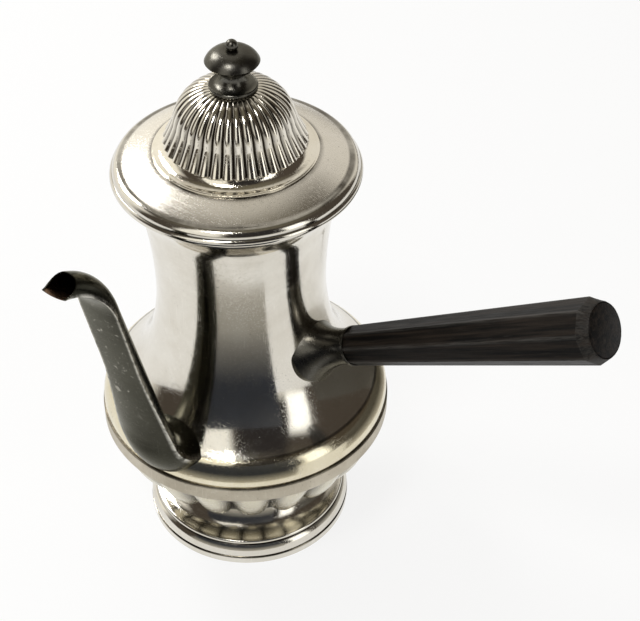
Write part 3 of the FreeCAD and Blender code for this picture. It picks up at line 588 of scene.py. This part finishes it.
# Half width, front swell and back depth at each stage: at the body, after the elbow, half-way up, at the
# tip bend, at the mouth.
SECTIONS = [(18.4, 16.5, 9.7), (14.6, 3.6, 8.0), (9.3, 0.8, 8.0), (9.0, 0.7, 6.6), (5.3, 0.6, 7.3)]
TIP_STAGE = 3
MOUTH_STAGE = 4.0
SPOUT_WALL = 1.0
MOUTH_THINNING = 0.75
# Stages between which the front face is worn.
WEAR_FROM = 1.3
WEAR_TO = 3.6
WEAR_SHARE = 0.9
# The scoop out of the mouth's upper side.
NOTCH_REACH = 8.6
NOTCH_HEIGHT = 5.2
NOTCH_LIFT = 5.3
NOTCH_SIDE = 17.0
NOTCH_STEPS = 64


def spout_stations():
    """Places along the spout: (reach, height, heading, stage)."""
    elbow = Vector((ELBOW_REACH, ELBOW_HEIGHT))
    riser = Vector((math.cos(RISER_ANGLE), math.sin(RISER_ANGLE)))
    tip = Vector((math.cos(TIP_ANGLE), math.sin(TIP_ANGLE)))
    corner = elbow + riser * RISER_LENGTH
    mouth = corner + tip * TIP_LENGTH
    tip_turn = RISER_ANGLE - TIP_ANGLE
    elbow_set = ELBOW_BEND * math.tan(RISER_ANGLE / 2)
    tip_set = TIP_BEND * math.tan(tip_turn / 2)
    bend_start = elbow - Vector((elbow_set, 0))
    bend_end = elbow + riser * elbow_set
    tip_start = corner - riser * tip_set
    tip_end = corner + tip * tip_set
    stations = [(SPOUT_START, elbow.y, 0.0, 0.0)]
    bend = arc(bend_start, bend_end, ELBOW_BEND * (1 - math.cos(RISER_ANGLE / 2)), ELBOW_STEPS)
    for step, (reach, height) in enumerate(bend):
        stations.append((reach, height, RISER_ANGLE * step / ELBOW_STEPS, step / ELBOW_STEPS))
    for step in range(RISER_STEPS):
        place = bend_end.lerp(tip_start, step / RISER_STEPS)
        stations.append((place.x, place.y, RISER_ANGLE, 1 + 2 * step / RISER_STEPS))
    bend = arc(tip_start, tip_end, -TIP_BEND * (1 - math.cos(tip_turn / 2)), TIP_STEPS)
    for step, (reach, height) in enumerate(bend):
        heading = RISER_ANGLE - tip_turn * step / TIP_STEPS
        stations.append((reach, height, heading, TIP_STAGE + step / TIP_STEPS))
    stations.append((tip_end.x, tip_end.y, TIP_ANGLE, MOUTH_STAGE))
    stations.append((mouth.x, mouth.y, TIP_ANGLE, MOUTH_STAGE))
    return stations


def section_at(stage):
    """Sizes at a stage, half-way between a smooth curve and straight lines through the named sections."""
    low = min(int(stage), len(SECTIONS) - 2)
    share = stage - low
    squared, cubed = share ** 2, share ** 3
    before, start, end, after = (SECTIONS[max(0, min(len(SECTIONS) - 1, low + k))] for k in (-1, 0, 1, 2))
    sizes = []
    for b, s, e, a in zip(before, start, end, after):
        slope_in = e - s if low == 0 else (e - b) / 2
        slope_out = (a - s) / 2
        smooth = ((2 * cubed - 3 * squared + 1) * s + (cubed - 2 * squared + share) * slope_in
                  + (3 * squared - 2 * cubed) * e + (cubed - squared) * slope_out)
        sizes.append(0.5 * smooth + 0.5 * (s + (e - s) * share))
    return sizes


def spout_ring(station, wall):
    """One section: a swelled front and a round back that meet in two ridges."""
    reach, height, heading, stage = station
    half, front, back = section_at(stage)
    half -= 2 * wall
    flat = arc((-half, -wall), (half, -wall), -front, SECTION_STEPS)
    round_back = arc((half, -wall), (-half, -wall), -(back - 2 * wall), SECTION_STEPS)
    ring = []
    for across, out in flat + round_back:
        ring.append((across, -reach - out * math.sin(heading), height - out * math.cos(heading)))
    return ring


def worn_front(stage, index):
    """Wear of a point on the front face, most half-way along the worn stretch."""
    across = index / SECTION_STEPS
    if not (WEAR_FROM < stage < WEAR_TO and 0.15 < across < 0.85):
        return 0.0
    return WEAR_SHARE * math.sin(math.pi * (stage - WEAR_FROM) / (WEAR_TO - WEAR_FROM))


def notch_ring(mouth, side):
    """An upright ellipse over the mouth, to one side of it."""
    ring = []
    for step in range(NOTCH_STEPS):
        turn = 2 * math.pi * step / NOTCH_STEPS
        reach = -mouth[0] + NOTCH_REACH * math.cos(turn)
        ring.append((side, reach, mouth[1] + NOTCH_LIFT + NOTCH_HEIGHT * math.sin(turn)))
    return ring


def spout():
    """Hollow spout with marks for its ridges (wear with a painted highlight), its rusted inside and its worn
    front, cut to the pot.
    """
    stations = spout_stations()
    rings = [spout_ring(station, 0.0) for station in stations]
    edge_wear_and_highlight, hollow_tint_and_shade, wear = [], [], []
    for station, ring in zip(stations, rings):
        for index in range(len(ring)):
            edge_wear_and_highlight.append(1.0 if index in (0, SECTION_STEPS) else 0.0)
            hollow_tint_and_shade.append(0.0)
            wear.append(worn_front(station[3], index))
    for station in reversed(stations):
        ring = spout_ring(station, SPOUT_WALL - MOUTH_THINNING * max(0.0, station[3] - TIP_STAGE))
        rings.append(ring)
        edge_wear_and_highlight += [0.0] * len(ring)
        hollow_tint_and_shade += [1.0] * len(ring)
        wear += [0.0] * len(ring)
    piece = skin("spout_cast", rings, {"edge_wear_and_highlight": edge_wear_and_highlight, "hollow_tint_and_shade": hollow_tint_and_shade, "wear": wear})
    mouth = stations[-1]
    carve(piece, drum("notch", notch_ring(mouth, -NOTCH_SIDE), notch_ring(mouth, NOTCH_SIDE)))
    carve(piece, pot_core())
    settle(piece, "pot", "spout", "tarnished_plate", SPOUT)


spout()


# Handle, made upright and then turned over to its tilt

LEAN = Matrix.Rotation(math.radians(90 - HANDLE_TILT), 4, "Y")
OVER = Matrix.Translation((0, 0, HANDLE_HEIGHT * MM)) @ LEAN
SOCKET_STEPS = 120
SOCKET_END = 64.4
SOCKET_FLOOR = 47.3
GRIP_LENGTH = 118.4
GRIP_END = SOCKET_END + GRIP_LENGTH
GRIP_WIDTHS = (15.0, 23.1)
GRIP_EASE = 1.2
GRIP_RINGS = 12
FLAT_POINTS = 6
CHAMFER = 0.8
BEVEL = 4.4
BEVEL_EASE = 0.4
# Radius of each ring of the turned end, with its depth below the end.
END_RINGS = [(10.5, 0.9), (10.1, 0.2), (9.8, 0.5), (9.5, 0.1), (9.2, 0.0), (0.01, 0.0)]
TENON_FOOT = SOCKET_END - 17.0
TENON_WIDTH = 10.8


def handle_socket():
    """Flared socket with a bead at its end, cut to the pot."""
    piece = turned("handle_socket_turned", [
        (0.0, 26.0), (13.8, 26.0), (13.8, 42.0, -2.6), (7.8, 63.2), (8.15, 63.3), (8.15, 64.3),
        (8.0, SOCKET_END), (5.5, SOCKET_END), (5.5, SOCKET_FLOOR), (0.0, SOCKET_FLOOR),
    ], SOCKET_STEPS)
    piece.data.transform(OVER)
    carve(piece, pot_core())
    settle(piece, "pot", "handle_socket", "tarnished_plate", DARK)


def grip_ring(width, height, ease):
    """Octagon across its flats with eased corners, a flat on top."""
    half = width / 2
    side = half * math.tan(math.pi / 8)
    ring = []
    for corner in range(8):
        turn = math.pi / 4 * corner
        for across in (-side, -side + ease, -0.5 * side, 0.0, 0.5 * side, side - ease):
            ring.append((half * math.cos(turn) - across * math.sin(turn),
                         half * math.sin(turn) + across * math.cos(turn), height))
    return ring


def round_ring(like, radius, height):
    """A round ring with its points in line with those of another ring."""
    ring = []
    for x, y, _ in like:
        scale = radius / math.hypot(x, y)
        ring.append((x * scale, y * scale, height))
    return ring


def handle_grip():
    """Tapered wooden bar with eight flats, eased edges, a bevelled end and a tenon."""
    first, last = GRIP_WIDTHS
    flats_foot = SOCKET_END + CHAMFER
    flats_step = (GRIP_LENGTH - CHAMFER - BEVEL - BEVEL_EASE) / GRIP_RINGS
    plan = [(SOCKET_END, -0.5), (flats_foot, 0.0)]
    plan += [(flats_foot + flats_step * step, 0.0) for step in range(1, GRIP_RINGS + 1)]
    plan += [(GRIP_END - BEVEL, 0.0), (GRIP_END - BEVEL + BEVEL_EASE, -0.3)]
    rings = []
    for height, change in plan:
        width = first + (last - first) * (height - SOCKET_END) / GRIP_LENGTH
        rings.append(grip_ring(width + change, height, GRIP_EASE))
    rings += [round_ring(rings[2], radius, GRIP_END - depth) for radius, depth in END_RINGS]
    for width, height in ((0.02, TENON_FOOT), (TENON_WIDTH, TENON_FOOT), (TENON_WIDTH, SOCKET_END)):
        rings.append(grip_ring(width * math.cos(math.pi / 8), height, 0.3))
    # Edge marks: wear with a painted highlight on the edges of the flats and on the bevelled end.
    edge_wear_and_highlight = []
    for number, ring in enumerate(rings):
        at_end = len(plan) - 3 < number < len(plan) + 2
        for index in range(len(ring)):
            on_edge = number < len(plan) and index % FLAT_POINTS == 0
            edge_wear_and_highlight.append(0.8 if on_edge else 0.4 if at_end else 0.0)
    piece = skin("handle_grip_wood", rings, {"edge_wear_and_highlight": edge_wear_and_highlight})
    piece.data.transform(OVER)
    settle(piece, "pot", "handle_grip", "ebony", WOOD)


handle_socket()
handle_grip()


# Lid

BEZEL_FOOT = RIM - 5.8

lid_plate = turned("lid_plate_turned", [
    (BEZEL_RADIUS + GAP, RIM), (LID_RADIUS, RIM, 1.0), (ROLL_RADIUS, ROLL_TOP, 0.4), (DOME_BASE, LID_TOP),
    (DOME_HOLE, LID_TOP), (DOME_HOLE, LID_TOP - WALL), (DOME_BASE, LID_TOP - WALL, -0.4),
    (ROLL_RADIUS, ROLL_TOP - WALL, -1.0), (LID_RADIUS - WALL, RIM + WALL), (BEZEL_RADIUS + GAP, RIM + WALL),
])
settle(lid_plate, "lid", "lid_plate", "silver_plate", SATIN, SILVER)
for face in lid_plate.data.polygons:
    face.material_index = 1 if face.center.z < (ROLL_TOP + 0.1) * MM else 0

settle(turned("lid_bezel_turned", [
    (BEZEL_RADIUS - 1.0, BEZEL_FOOT), (BEZEL_RADIUS, BEZEL_FOOT), (BEZEL_RADIUS, RIM + WALL),
    (BEZEL_RADIUS - 1.0, RIM + WALL),
]), "lid", "lid_bezel", "silver_plate", SILVER)

RIB_COUNT = 36
RIB_STEPS = 10
RIB_DEPTH = 1.55
# Share of a rib over which its groove darkening, tarnish with painted shade, falls off.
RIB_VALLEY = 0.40


def lid_dome():
    """Moulding and cove at the base, rounded ribs with round tips, the hollow inside."""
    foot, waist, crown = (27.9, COVE_TOP - 0.3), (23.6, BELL_TOP - 2.3), (10.6, DOME_TOP)
    cove = [(DOME_BASE, LID_TOP), (DOME_BASE, LID_TOP + 0.55), (31.7, LID_TOP + 0.7), (31.7, LID_TOP + 1.0)]
    cove += arc((31.4, LID_TOP + 1.1), (26.4, COVE_TOP - 1.2), -0.9)
    ribs = [(26.6, COVE_TOP - 1.3), (27.3, COVE_TOP - 1.15), (27.7, COVE_TOP - 0.75)]
    ribs += arc(foot, waist, -0.2) + arc(waist, crown, 2.9, 20) + [crown]
    hollow_top = (7.75, DOME_TOP - WALL)
    inside = [(STUD_HOLE, DOME_TOP), (STUD_HOLE, DOME_TOP - WALL), hollow_top]
    inside += [*reversed(arc((20.15, BELL_TOP), hollow_top, 3.1)), (25.95, COVE_TOP), (DOME_HOLE, LID_TOP)]

    def plain(line):
        start = -math.pi / RIB_COUNT
        return [circle(radius, height, RIB_COUNT * RIB_STEPS, start) for radius, height in line]

    ribbed = []
    valleys = []
    for radius, height in ribs:
        depth = RIB_DEPTH * math.sqrt(radius / DOME_HOLE)
        ribbed.append(lobed(radius, depth, height, RIB_COUNT, 0.0, RIB_STEPS))
        # The painted shade in the valleys widens towards the crown, where the ribs are narrow.
        valleys.append(RIB_VALLEY + 0.012 * max(0.0, 26.0 - radius))
    rings = plain(cove) + ribbed + plain(inside)
    shares = [0.0] * len(cove) + [1.0] * len(ribs) + [0.0] * len(inside)
    valleys = [RIB_VALLEY] * len(cove) + valleys + [RIB_VALLEY] * len(inside)
    piece = skin("lid_dome_ribbed", rings, {"hollow_tint_and_shade": valley_tarnish_and_shade_marks(rings, RIB_STEPS, shares, valleys)})
    settle(piece, "lid", "lid_dome", "silver_plate", RIBS)


lid_dome()

settle(turned("finial_stem_turned", [
    (STUD_HOLE, DOME_TOP), (9.0, DOME_TOP, 0.4), (9.0, 220.0), (7.6, 219.5, -1.7), (4.3, KNOB_FOOT),
    (STUD_HOLE, KNOB_FOOT),
], FINIAL_STEPS), "lid", "finial_stem", "tarnished_plate", DARK)

settle(turned("finial_knob_turned", [
    (STUD_HOLE, KNOB_FOOT), (4.3, KNOB_FOOT, 0.7), (10.4, 229.8, 1.5), (2.4, KNOB_TOP),
    (STUD_HOLE, KNOB_TOP),
], FINIAL_STEPS), "lid", "finial_knob", "tarnished_plate", DARK)

STUD_RADIUS = 1.5
STUD_FOOT = 212.9
BEAD_FOOT = 1.8
BEAD_HEIGHT = 4.1
BEAD_RADIUS = (BEAD_FOOT ** 2 + BEAD_HEIGHT ** 2) / (2 * BEAD_HEIGHT)
bead = arc((BEAD_FOOT, KNOB_TOP), (0.0, KNOB_TOP + BEAD_HEIGHT), BEAD_RADIUS - 1.02, 24)
settle(turned("finial_stud_turned", [
    (0.0, STUD_FOOT), (STUD_RADIUS, STUD_FOOT), (STUD_RADIUS, KNOB_TOP), *bead,
    (0.0, KNOB_TOP + BEAD_HEIGHT),
], 64), "lid", "finial_stud", "tarnished_plate", DARK)

for node in ("handle_pin", "finial_washer", "finial_nut"):
    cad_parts[node].data.materials.clear()
    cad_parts[node].data.materials.append(PLAIN)


# Camera

def way(azimuth, elevation):
    """Direction from the pot, in degrees: azimuth 0 is the spout's side and 90 the handle's."""
    a, e = math.radians(azimuth), math.radians(elevation)
    return Vector((math.sin(a) * math.cos(e), -math.cos(a) * math.cos(e), math.sin(e)))


AZIMUTH = 34.0
ELEVATION = 41.0
AIM_HEIGHT = 110.0
DISTANCE = 665.0
# How far the camera stands to the right of the pot and below its aim.
ASIDE = 32.2
BELOW = 1.37

back = way(AZIMUTH, ELEVATION)
right = Vector((math.cos(math.radians(AZIMUTH)), math.sin(math.radians(AZIMUTH)), 0))
up = back.cross(right)
camera = add_object("camera", bpy.data.cameras.new("camera"))
camera.data.sensor_width = 36.0
camera.data.lens = 90.0
camera.data.clip_start = 0.01
place = Vector((0, 0, AIM_HEIGHT)) + ASIDE * right - BELOW * up + DISTANCE * back
turn = Matrix((right, up, back)).transposed().to_4x4()
camera.matrix_world = Matrix.Translation(place * MM) @ turn
bpy.context.scene.camera = camera


# Floor, world and lamps

FLOOR_REACH = 14.0
FLOOR_DROP = 0.0003
FLOOR_GLOW = 0.84


def floor():
    """A wide pale floor that looks white to the camera and in reflections, and keeps the pot's shadow."""
    corners = []
    for x, y in ((-1, -1), (1, -1), (1, 1), (-1, 1)):
        corners.append((x * FLOOR_REACH, y * FLOOR_REACH, -FLOOR_DROP))
    mesh = bpy.data.meshes.new("floor")
    mesh.from_pydata(corners, [], [(0, 1, 2, 3)])
    graph = Finish("floor_white")
    graph.shader.inputs["Base Color"].default_value = colour(0.92, 0.92, 0.91)
    graph.shader.inputs["Roughness"].default_value = 0.9
    ray = graph.add("ShaderNodeLightPath")
    seen = graph.math("MAXIMUM", ray.outputs["Is Camera Ray"], ray.outputs["Is Glossy Ray"])
    seen = graph.math("MAXIMUM", seen, ray.outputs["Is Transmission Ray"])
    glow = graph.add("ShaderNodeEmission")
    blend = graph.add("ShaderNodeMixShader")
    graph.feed(blend.inputs[0], graph.math("MULTIPLY", seen, FLOOR_GLOW))
    graph.feed(blend.inputs[1], graph.shader.outputs[0])
    graph.feed(blend.inputs[2], glow.outputs[0])
    graph.feed(graph.tree.nodes["Material Output"].inputs["Surface"], blend.outputs[0])
    mesh.materials.append(graph.material)
    piece = add_object("floor", mesh)


floor()

FLAG_STEPS = 24
FLAG_FADE = 0.074


def flag(name, first, last, reach, height, foot_tone, dark):
    """A low upright card that glows, seen only in reflections, as a photographer's flag gives silver its
    contrast; its glow, pale at the foot and dark above, is a painted reflection of a shaded table and a dark
    room.
    """
    points = []
    for step in range(FLAG_STEPS + 1):
        foot = way(first + (last - first) * step / FLAG_STEPS, 0.0) * reach
        points += [foot, foot + Vector((0, 0, height))]
    faces = [(2 * k, 2 * k + 2, 2 * k + 3, 2 * k + 1) for k in range(FLAG_STEPS)]
    mesh = bpy.data.meshes.new(name)
    mesh.from_pydata(points, [], faces)
    graph = Finish(name + "_shade")
    shade = graph.mix(graph.between(graph.level(), 0.0, FLAG_FADE), foot_tone, dark)
    graph.shader.inputs["Base Color"].default_value = colour(0.0, 0.0, 0.0)
    graph.feed(graph.shader.inputs["Emission Color"], shade)
    graph.shader.inputs["Emission Strength"].default_value = 1.0
    mesh.materials.append(graph.material)
    piece = add_object(name, mesh)
    piece.visible_camera = False
    piece.visible_diffuse = False
    piece.visible_shadow = False


# Painted reflections: the table in the viewer's shadow in front, the dark side of the room towards the
# handle.
flag("flag_front", -18, 66, 0.150, 0.152, colour(0.46, 0.44, 0.39), colour(0.012, 0.016, 0.026))
flag("flag_side", 101, 166, 0.175, 0.125, colour(0.50, 0.48, 0.44), colour(0.050, 0.045, 0.036))


def room():
    """A dim room with bright windows, a dark place where the viewer stands and a pale table before it."""
    world = bpy.data.worlds.new("room")
    bpy.context.scene.world = world
    world.use_nodes = True
    graph = Graph(world.node_tree, "Generated")
    level = graph.level()

    def towards(azimuth, elevation, wide, narrow):
        """One within a narrow angle of a direction, nothing beyond the wide angle."""
        near = graph.along(way(azimuth, elevation))
        return graph.between(near, math.cos(math.radians(wide)), math.cos(math.radians(narrow)))

    def edge(outside, inside):
        """Nothing at one elevation, rising to one at another."""
        return graph.between(level, math.sin(math.radians(outside)), math.sin(math.radians(inside)))

    def strip(azimuth, half_width, low, high):
        """One in an upright strip of the room between two elevations."""
        aside = graph.math("ARCTAN2", graph.along(way(azimuth + 90, 0)), graph.along(way(azimuth, 0)))
        across = graph.between(graph.math("ABSOLUTE", aside, 0.0), math.radians(half_width),
                               math.radians(half_width * 0.7))
        upright = graph.math("MULTIPLY", edge(low - 4, low + 4), edge(high + 5, high - 5))
        return graph.math("MULTIPLY", across, upright)

    tint = colour(0.075, 0.062, 0.050)
    for share, shine in (
        (towards(0, 90, 40, 18), colour(0.15, 0.135, 0.10)),
        (towards(222, 62, 26, 10), colour(0.70, 0.67, 0.61)),
        (strip(256, 52, -20, 44), colour(1.08, 1.05, 0.97)),
        (strip(188, 30, 5, 46), colour(0.82, 0.79, 0.73)),
        (strip(52, 30, -20, 60), colour(0.030, 0.027, 0.026)),
        (strip(52, 50, -25, 6), colour(0.80, 0.78, 0.72)),
        (strip(2, 23, 10, 66), colour(1.12, 1.10, 1.03)),
        (strip(88, 12, 2, 40), colour(1.8, 1.8, 1.75)),
    ):
        tint = graph.mix(share, tint, shine)
    background = world.node_tree.nodes["Background"]
    graph.feed(background.inputs["Color"], tint)
    background.inputs["Strength"].default_value = 1.0


room()

LAMP_DISTANCE = 1.2


def lamp(name, azimuth, elevation, size, watts):
    """A soft square lamp that faces the pot."""
    light = bpy.data.lights.new(name, "AREA")
    light.size = size
    light.energy = watts
    holder = add_object(name, light)
    towards = way(azimuth, elevation)
    holder.location = Vector((0, 0, AIM_HEIGHT * MM)) + towards * LAMP_DISTANCE
    holder.rotation_euler = towards.to_track_quat("Z", "Y").to_euler()


lamp("key", 262, 40, 0.40, 7.0)
lamp("fill", 12, 62, 0.25, 4.0)

bpy.context.scene.view_settings.view_transform = "Standard"
